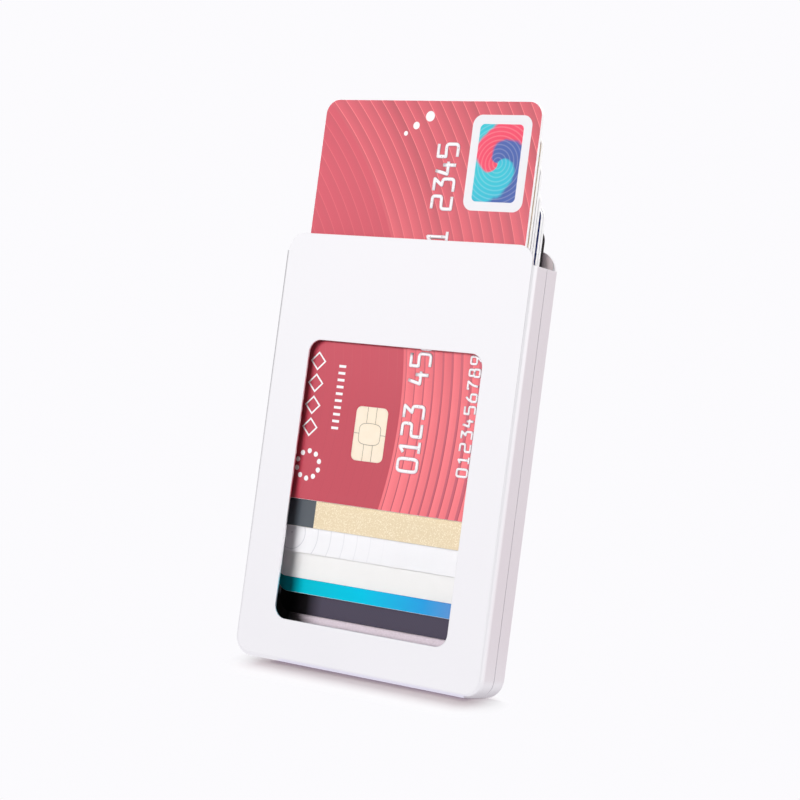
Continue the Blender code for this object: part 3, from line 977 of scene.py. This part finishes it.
def add_digits(name, number, text, baseline, cap, start, pitch, width, weight, proud):
    """A row of raised digits on a card. It reads upwards, with the digits' tops towards the left edge."""
    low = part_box(f"card_{number}")[0]
    strokes = []
    for place, digit in enumerate(text):
        for shares in DIGIT_STROKE_SHARES.get(digit, ()):
            strokes.append(
                [
                    (low.x + baseline - rise * cap, 0, low.z + start + place * pitch + run * width)
                    for run, rise in shares
                ]
            )
    row = add_strokes(name, strokes, weight / 2)
    row.scale.y = 2 * proud / weight
    row.location.y = low.y
    bpy.ops.object.transform_apply(location=True, rotation=False, scale=True)
    bpy.ops.object.shade_smooth()
    return row


def tipped_foil(name, low, proud):
    """Silver foil on the digits' tops; painted shade on their flanks, in a red darker than the card's."""
    finish = Finish(name, {})
    height = low.y - finish.axes(finish.place())[1]
    wear = finish.noise(WEAR_SIZE, FINE_DETAIL, seed=3)
    kept = 1 - finish.step_up(wear, *WEAR_BLEND) * WEAR_SHARE
    foil = finish.step_up(height, proud * FOIL_FROM_SHARE, proud * FOIL_SOFT_SHARE) * kept
    finish.colour(foil, FLANK_PAINTED_SHADE_AND_WEAR, SILVER)
    finish.feed("Metallic", foil * FOIL_METALLIC)
    finish.rough(wear, *FOIL_ROUGHNESS)
    finish.bump(wear, *FOIL_RELIEF)
    return finish.material


card = add_card("red_card", 1)
front = Print("red_print", 1, COATED)
arc_lines, arc_tone, arc_within = ripples(front, RIPPLE_CENTRE, RIPPLE_STEP, RIPPLE_LINE)
arc_radius = front.radius_from(RIPPLE_CENTRE)
rise = front.step_up(front.up, *RED_TOP_BLEND)
coral_side = front.step_up(arc_radius, CORAL_FROM, INK_EDGE)
coral = coral_side * (1 - arc_within * CORAL_FADE_IN_BAND) * (1 - rise * CORAL_FADE_UPWARDS)
pleats = (coral_side * (1 - PLEAT_SHARE) + PLEAT_SHARE) * rise
brown = arc_within * pleats * (arc_tone * BROWN_TONE_SHARE + BROWN_SHARE)
band_from = 1 - (arc_radius - CORAL_FROM) * BAND_GROWTH
band = front.step_up(arc_within, band_from, BAND_SOFT) * coral_side * (1 - rise)
dark_arcs = arc_lines * (coral_side * ARC_DARK_CORAL_SHARE + ARC_DARK_SHARE) * (1 - rise)
ground = front.mix(rise, RED_DEEP, RED_TOP)
for share, ink in (
    (coral, CORAL),
    (brown, PLEAT_BROWN),
    (arc_tone * RED_DEEP_SHARE * coral_side, RED_DEEP),
    (band * BAND_MAUVE_SHARE, BAND_MAUVE),
    (dark_arcs, ARC_DARK),
    (arc_lines * pleats * ARC_LIGHT_SHARE, ARC_LIGHT),
    (front.grain * SPECKLE_SHARE, ARC_DARK),
):
    ground = front.mix(share, ground, ink)

seal_turn = front.maths("FRACT", front.turn_about(SEAL_CENTRE) * (SEAL_DOTS / math.tau))
along_seal = (seal_turn - 0.5) * (math.tau * SEAL_RADIUS / SEAL_DOTS)
from_seal = front.radius_from(SEAL_CENTRE) - SEAL_RADIUS
marks = front.step_down((along_seal**2 + from_seal**2) ** 0.5, SEAL_DOT, INK_EDGE)
away, in_row = front.repeats(DIAMOND_START, DIAMOND_PITCH, DIAMOND_COUNT)
away = abs(abs(front.across - DIAMOND_ACROSS) + away - DIAMOND_REACH)
marks += in_row * front.step_down(away, DIAMOND_LINE / 2, INK_EDGE)
away, in_row = front.repeats(BAR_START, BAR_PITCH, BAR_COUNT)
beside = abs(front.across - BAR_ACROSS)
bars = in_row * front.step_down(away, BAR_WIDTH / 2, INK_EDGE)
marks += bars * front.step_down(beside, BAR_LENGTH / 2, INK_EDGE)
for centre, radius in GROWING_DOTS:
    marks += front.step_down(front.radius_from(centre), radius, INK_EDGE)
ground = front.mix(marks, ground, PRINT_WHITE)

patch_middle = [(a + b) / 2 for a, b in zip(PATCH_LOW, PATCH_HIGH)]
patch_out = front.radius_from(patch_middle)
sheen = front.turn_about(patch_middle) / math.tau + patch_out * PATCH_TURNS_PER_METRE
sheen = front.maths("FRACT", sheen + front.cloud * PATCH_WAVER)
sheen = front.node("ValToRGB", {"stops": PATCH_STOPS}, {"Fac": sheen})
rings = front.maths("SINE", patch_out * (math.tau / PATCH_RING_STEP))
rings = front.step_up(rings, *PATCH_RING_BLEND)
sheen = front.mix(rings * PATCH_RING_SHARE, sheen, PRINT_WHITE)
border = front.inside(PATCH_LOW, PATCH_HIGH, PATCH_CORNER)
inner_low = [a + PATCH_BORDER for a in PATCH_LOW]
inner_high = [a - PATCH_BORDER for a in PATCH_HIGH]
ground = front.mix(border, ground, PATCH_WHITE)
ground = front.mix(front.inside(inner_low, inner_high, PATCH_INNER_CORNER), ground, sheen)

for name, foil_name, text, sizes, stroke in (
    ("embossed_number", "number_foil", NUMBER, NUMBER_SIZES, NUMBER_STROKE),
    ("embossed_short_number", "short_number_foil", SHORT_NUMBER, SHORT_SIZES, SHORT_STROKE),
):
    row = add_digits(name, 1, text, **sizes, **stroke)
    foil = tipped_foil(foil_name, front.low, stroke["proud"])
    set_in_place(row, "sliding_card_1", "red_card", [foil])
add_chip(1, card)
finish_card(1, "red_card", card, front.lacquer(ground), RED_SKIN, RED_BACK)

# The gold card: pearl gold print with a slate band down its left edge, and a flat printed number.
GOLD = (0.76, 0.62, 0.41)
GOLD_SKIN = (0.80, 0.70, 0.56)
GLINT = (0.96, 0.86, 0.68)
GLINT_SIZE = 0.00026
GLINT_BLEND = (0.58, 0.14)
GLINT_SHARE = 0.8
SLATE = (0.0663, 0.078, 0.0936)
SLATE_WIDTH = 0.0101
INK_STROKE = dict(weight=0.00042, proud=0.00002)
INK_SPOT_SIZE = 0.0003
INK_SPOT_SHARE = 0.3
INK_BLOTCH_SIZE = 0.001
INK_ROUGHNESS = (0.35, 0.45)


def printed_ink(name, colour):
    finish = Finish(name, {})
    spots = finish.noise(INK_SPOT_SIZE, PLAIN_DETAIL)
    finish.colour(spots * INK_SPOT_SHARE, colour, PRINT_WHITE)
    finish.rough(finish.noise(INK_BLOTCH_SIZE, PLAIN_DETAIL), *INK_ROUGHNESS)
    return finish.material


def add_printed_number(number, slot, colour):
    """The card's number as flat ink, in the same place as on the red card."""
    row = add_digits(f"printed_number_{number}", number, NUMBER, **NUMBER_SIZES, **INK_STROKE)
    set_in_place(row, f"sliding_card_{number}", slot, [printed_ink(f"ink_{number}", colour)])


card = add_card("gold_card", 2)
front = Print("gold_print", 2, COATED)
glint = front.noise(GLINT_SIZE, PLAIN_DETAIL, seed=2)
glint = front.step_up(glint, *GLINT_BLEND) * GLINT_SHARE
slate = front.step_down(front.across, SLATE_WIDTH, INK_EDGE)
ground = front.mix(slate, front.mix(glint, GOLD, GLINT), SLATE)
add_printed_number(2, "gold_card", SLATE)
add_chip(2, card)
finish_card(2, "gold_card", card, front.lacquer(ground), GOLD_SKIN, GOLD)

# The white card: white print with faint grey rings that spread from its lower left corner.
COOL_WHITE = (0.94, 0.93, 0.975)
WHITE_SKIN = (0.86, 0.85, 0.88)
NUMBER_GREY = (0.12, 0.12, 0.14)
RING_GREY = (0.55, 0.56, 0.62)
RING_CENTRE = (0.004, 0.004)
RING_STEP = 0.0034
RING_LINE = 0.0002
RING_SHARE = 0.6
RING_TONE_SHARE = 0.02
RING_FADE_BLEND = (0.014, 0.024)
# Light spreads a little way inside the white plastic, so shadows on it are soft
MILKY = {
    **COATED,
    "Subsurface Weight": 0.5,
    "Subsurface Radius": (1.0, 1.0, 1.0),
    "Subsurface Scale": 0.0016,
}

card = add_card("white_card", 3)
front = Print("white_print", 3, MILKY)
ring_lines, ring_tone, _ = ripples(front, RING_CENTRE, RING_STEP, RING_LINE)
fade = front.step_down(front.radius_from(RING_CENTRE), *RING_FADE_BLEND)
grey = ring_lines * fade * RING_SHARE + ring_tone * RING_TONE_SHARE
ground = front.mix(grey, COOL_WHITE, RING_GREY)
add_printed_number(3, "white_card", NUMBER_GREY)
add_chip(3, card)
finish_card(3, "white_card", card, front.lacquer(ground), WHITE_SKIN, COOL_WHITE)

# The ivory card: a plain off-white membership card with a fine grey frame line.
IVORY = (0.92, 0.91, 0.90)
IVORY_CLOUD = 0.1
FRAME_GREY = (0.62, 0.61, 0.60)
FRAME_INSET = 0.0075
FRAME_LINE = 0.00025
FRAME_CORNER_SHARE = 0.2
FRAME_SHARE = 0.8

card = add_card("ivory_card", 4)
front = Print("ivory_print", 4, MILKY)
size = front.high - front.low
outer_line, inner_line = (
    front.inside(
        (inset, inset), (size.x - inset, size.z - inset), CARD_RADIUS - inset * FRAME_CORNER_SHARE
    )
    for inset in (FRAME_INSET, FRAME_INSET + FRAME_LINE)
)
ground = front.mix(front.cloud * IVORY_CLOUD, IVORY, FRAME_GREY)
ground = front.mix((outer_line - inner_line) * FRAME_SHARE, ground, FRAME_GREY)
finish_card(4, "ivory_card", card, front.lacquer(ground), IVORY, IVORY)

# The blue-green card: white above, with a band along its lower edge that turns from teal to blue, and a
# navy band down its right edge.
TEAL = (0.0004, 0.49, 0.61)
# Painted shade: the band's darker teal at its left edge
TEAL_PAINTED_SHADE = (0.0003, 0.30, 0.35)
# The band's colour by its place across the card, from its left edge (0) to its right edge (1)
BAND_STOPS = (
    (0.02, TEAL_PAINTED_SHADE),
    (0.13, TEAL),
    (0.42, (0.0005, 0.53, 0.75)),
    (0.7, (0.025, 0.34, 0.72)),
    (0.9, (0.15, 0.27, 0.60)),
)
BAND_HEIGHT = 0.0125
NAVY = (0.016, 0.03, 0.17)
NAVY_WIDTH = 0.0022
NAVY_INSET = 0.00003

card = add_card("teal_card", 5)
front = Print("teal_print", 5, {"Specular IOR Level": 0.12})
width = front.high.x - front.low.x
ground = front.node("ValToRGB", {"stops": BAND_STOPS}, {"Fac": front.across / width})
above = front.step_up(front.up, BAND_HEIGHT, INK_EDGE)
ground = front.mix(above, ground, COOL_WHITE)
navy = front.between(front.across, width - NAVY_WIDTH, width - NAVY_INSET, INK_EDGE)
ground = front.mix(navy, ground, NAVY)
add_printed_number(5, "blue_green_card", NAVY)
add_chip(5, card)
finish_card(5, "blue_green_card", card, front.lacquer(ground), COOL_WHITE, COOL_WHITE)

# The plain white card: an unprinted card of which only the top and right edges show at the mouth.
PLAIN_WHITE = (0.90, 0.89, 0.92)
PLAIN_CLOUD = 0.08

card = add_card("plain_card", 6)
front = Print("plain_print", 6, COATED)
ground = front.mix(front.cloud * PLAIN_CLOUD, PLAIN_WHITE, RING_GREY)
finish_card(6, "plain_white_card", card, front.lacquer(ground), PLAIN_WHITE, PLAIN_WHITE)

# The dark card, at the back: black through and through, with a charcoal print of fine diagonal lines that
# painted shade darkens to black towards its left edge.
CHARCOAL = (0.070, 0.059, 0.090)
CHARCOAL_LINE = (0.076, 0.064, 0.097)
DARK_CORE = (0.009, 0.007, 0.009)
PAINTED_SHADE_BLACK = (0.006, 0.005, 0.006)
PAINTED_SHADE_BLEND = (0.0092, 0.004)
WEAVE_PITCH = 0.0007
WEAVE_BLEND = (0.5, 0.6)

card = add_card("dark_card", 7)
front = Print("dark_print", 7, {"Specular IOR Level": 0.2})
weave = (front.across + front.up) * (math.tau / WEAVE_PITCH)
weave = front.step_up(front.maths("SINE", weave), *WEAVE_BLEND)
# Painted shade darkens the print to black towards the left edge
clear_of_painted_shade = front.step_up(front.across, *PAINTED_SHADE_BLEND)
ground = front.mix(weave, CHARCOAL, CHARCOAL_LINE)
ground = front.mix(clear_of_painted_shade, PAINTED_SHADE_BLACK, ground)
finish_card(7, "dark_card", card, front.lacquer(ground), DARK_CORE, CHARCOAL, DARK_CORE)

# The studio: a seamless white sweep in front of a white background. A large soft lamp stands at the front
# left, a small one overhead and a low one at the right. Metal sees lit walls with a dark gap at the front.
FLOOR_REACH = 3.0
FLOOR_DROP = 0.00003
FLOOR_WHITE = (0.88, 0.875, 0.89)
FLOOR_BOUNCE = (0.28, 0.28, 0.285)
BACKGROUND = (0.972, 0.964, 0.988)
PAPER_CLOUD_SIZE = 0.02
PAPER_CLOUD = 0.1
# The thin contact shadow is part of the floor's colour: a dark line and a paler tint, by the distance from
# the case's foot. Further away the floor fades into the background's own white.
SHADOW_HALF = 0.02345
SHADOW_SHIFT = 0.0023
SHADOW_SKEW = 0.45
SIDE_FADE = 3.4
BACK_FADE = 3
CONTACT_LINE = (0.43, 0.34, 0.40)
LINE_BLEND = (0.0035, 0.005)
CONTACT_TINT = (0.62, 0.54, 0.57)
TINT_BLEND = (0.018, 0.014)
GLOW_BLEND = (0.019, 0.030)
# The floor that the metal mirrors is darkened with painted shade where the case touches it, under the
# case's right corner, and away to the right and back
MIRRORED_LINE = (0.87, 0.85, 0.97)
MIRRORED_LINE_BLEND = (0.0005, 0.001)
MIRRORED_CORNER = (0.50, 0.46, 0.50)
MIRRORED_CORNER_BLEND = (0.0035, 0.007)
FLOOR_BEHIND = (0.81, 0.735, 0.768)
BEHIND_DIRECTION = (0.8, 0.6)
BEHIND_BLEND = (0.05, 0.06)

bpy.ops.mesh.primitive_plane_add(size=FLOOR_REACH, location=(0, 0, -FLOOR_DROP))
floor = bpy.context.object
floor.name = "floor"
sweep = Finish("white_sweep", {"Roughness": 0.9, "Specular IOR Level": 0.2})
seen = sweep.node("LightPath", {}, {}, "Is Camera Ray")
mirrored = sweep.node("LightPath", {}, {}, "Is Glossy Ray")
x, y, _ = sweep.axes(sweep.place())
before = sweep.maths("MAXIMUM", front_low.y - y, (y - rear_high.y) * BACK_FADE)
before = sweep.maths("MAXIMUM", before, 0)
beside = abs(x + y * SHADOW_SKEW - SHADOW_SHIFT) - SHADOW_HALF
beside = sweep.maths("MAXIMUM", beside, 0)
away = ((beside * SIDE_FADE) ** 2 + before**2) ** 0.5
cloud = sweep.noise(PAPER_CLOUD_SIZE, FINE_DETAIL) * PAPER_CLOUD
paper = sweep.mix(cloud, FLOOR_WHITE, BACKGROUND)
paper = sweep.mix(sweep.step_up(away, *TINT_BLEND), CONTACT_TINT, paper)
paper = sweep.mix(sweep.step_up(away, *LINE_BLEND), CONTACT_LINE, paper)
sweep.colour(seen, FLOOR_BOUNCE, paper)

past = x * BEHIND_DIRECTION[0] + y * BEHIND_DIRECTION[1]
behind = sweep.step_up(past, *BEHIND_BLEND)
touching = sweep.step_down(away, *MIRRORED_LINE_BLEND)
aside = x - (front_high.x - CORNER_RADIUS)
under = sweep.step_down(aside, *MIRRORED_CORNER_BLEND) * sweep.step_up(aside, 0, TINY)
under = under * sweep.step_up(y, front_low.y, TINY)
glow_colour = BACKGROUND
for share, colour in (
    (behind, FLOOR_BEHIND),
    (touching, MIRRORED_LINE),
    (under, MIRRORED_CORNER),
):
    glow_colour = sweep.mix(share * mirrored, glow_colour, colour)
glow = sweep.node("Emission", {}, {"Color": glow_colour})
glowing = sweep.step_up(away, *GLOW_BLEND) * seen + mirrored
blend = sweep.node(
    "MixShader", {}, {0: glowing, 1: Level(sweep, sweep.shader.outputs[0]), 2: glow}
)
sweep.tree.links.new(blend.socket, sweep.tree.nodes["Material Output"].inputs["Surface"])
floor.data.materials.append(sweep.material)


class World(Finish):
    """The world's nodes, built in the same way as a finish."""

    def __init__(self, name):
        self.world = bpy.data.worlds.new(name)
        self.world.use_nodes = True
        self.tree = self.world.node_tree
        bpy.context.scene.world = self.world


# Brightness of the walls that metal mirrors, by direction: from the back over the left, the front (0.5)
# and the right
WALL_STOPS = (
    (0.0, (0.585, 0.55, 0.565)),
    (0.10, (0.18,) * 3),
    (0.25, (0.14,) * 3),
    (0.33, (0.72,) * 3),
    (0.455, (0.89,) * 3),
    (0.48, (0.45,) * 3),
    (0.55, (0.45,) * 3),
    (0.59, (0.84,) * 3),
    (0.78, (0.86,) * 3),
    (0.84, (0.55, 0.50, 0.515)),
    (1.0, (0.585, 0.55, 0.565)),
)
# The same for the light that falls on everything
FILL_STOPS = (
    (0.22, (0.40,) * 3),
    (0.26, (0.22,) * 3),
    (0.37, (0.22,) * 3),
    (0.44, (0.04,) * 3),
    (0.73, (0.04,) * 3),
    (0.78, (0.40,) * 3),
)
ROOM_STRENGTH = 1.5
WALL_CEILING = 0.75
FILL_CEILING = 0.1
CEILING_BLEND = (0.75, 0.4)

studio = World("studio")
east, north, height = studio.axes(studio.place("Generated"))
turned = studio.maths("ARCTAN2", east, north * -1) / math.tau + 0.5
high_up = studio.step_up(height, *CEILING_BLEND)
room = []
for stops, ceiling in ((FILL_STOPS, FILL_CEILING), (WALL_STOPS, WALL_CEILING)):
    walls = studio.node("ValToRGB", {"stops": stops}, {"Fac": turned})
    room.append(studio.mix(high_up, walls, (ceiling,) * 3))
mirrored = studio.node("LightPath", {}, {}, "Is Glossy Ray")
room_light = {"Color": studio.mix(mirrored, *room), "Strength": ROOM_STRENGTH}
room_light = studio.node("Background", {}, room_light)
plain = studio.node("Background", {}, {"Color": BACKGROUND, "Strength": 1.0})
camera_ray = studio.node("LightPath", {}, {}, "Is Camera Ray")
whole = studio.node("MixShader", {}, {0: camera_ray, 1: room_light, 2: plain})
studio.tree.links.new(whole.socket, studio.tree.nodes["World Output"].inputs["Surface"])

LAMP_DISTANCE = 1.2
# Each lamp's azimuth and elevation in degrees, its width and height, and its watts
LAMPS = {
    "key_lamp": (-15, 6, 0.75, 0.32, 13.6),
    "top_lamp": (225, 80, 0.28, 0.28, 8.6),
    "right_lamp": (92, 17, 0.5, 0.4, 10.0),
}

# Rectangular soft lamps that look at the holder's middle, and that metal doesn't mirror
for name, (azimuth, elevation, width, height, watts) in LAMPS.items():
    azimuth, elevation = math.radians(azimuth), math.radians(elevation)
    outwards = Vector((math.sin(azimuth), -math.cos(azimuth), 0)) * math.cos(elevation)
    outwards.z = math.sin(elevation)
    bpy.ops.object.light_add(
        type="AREA",
        location=AIM + outwards * LAMP_DISTANCE,
        rotation=outwards.to_track_quat("Z", "Y").to_euler(),
    )
    lamp = bpy.context.object
    lamp.name = name
    lamp.data.shape = "RECTANGLE"
    lamp.data.size = width
    lamp.data.size_y = height
    lamp.data.energy = watts
    lamp.visible_glossy = False

bpy.context.scene.view_settings.view_transform = "Standard"
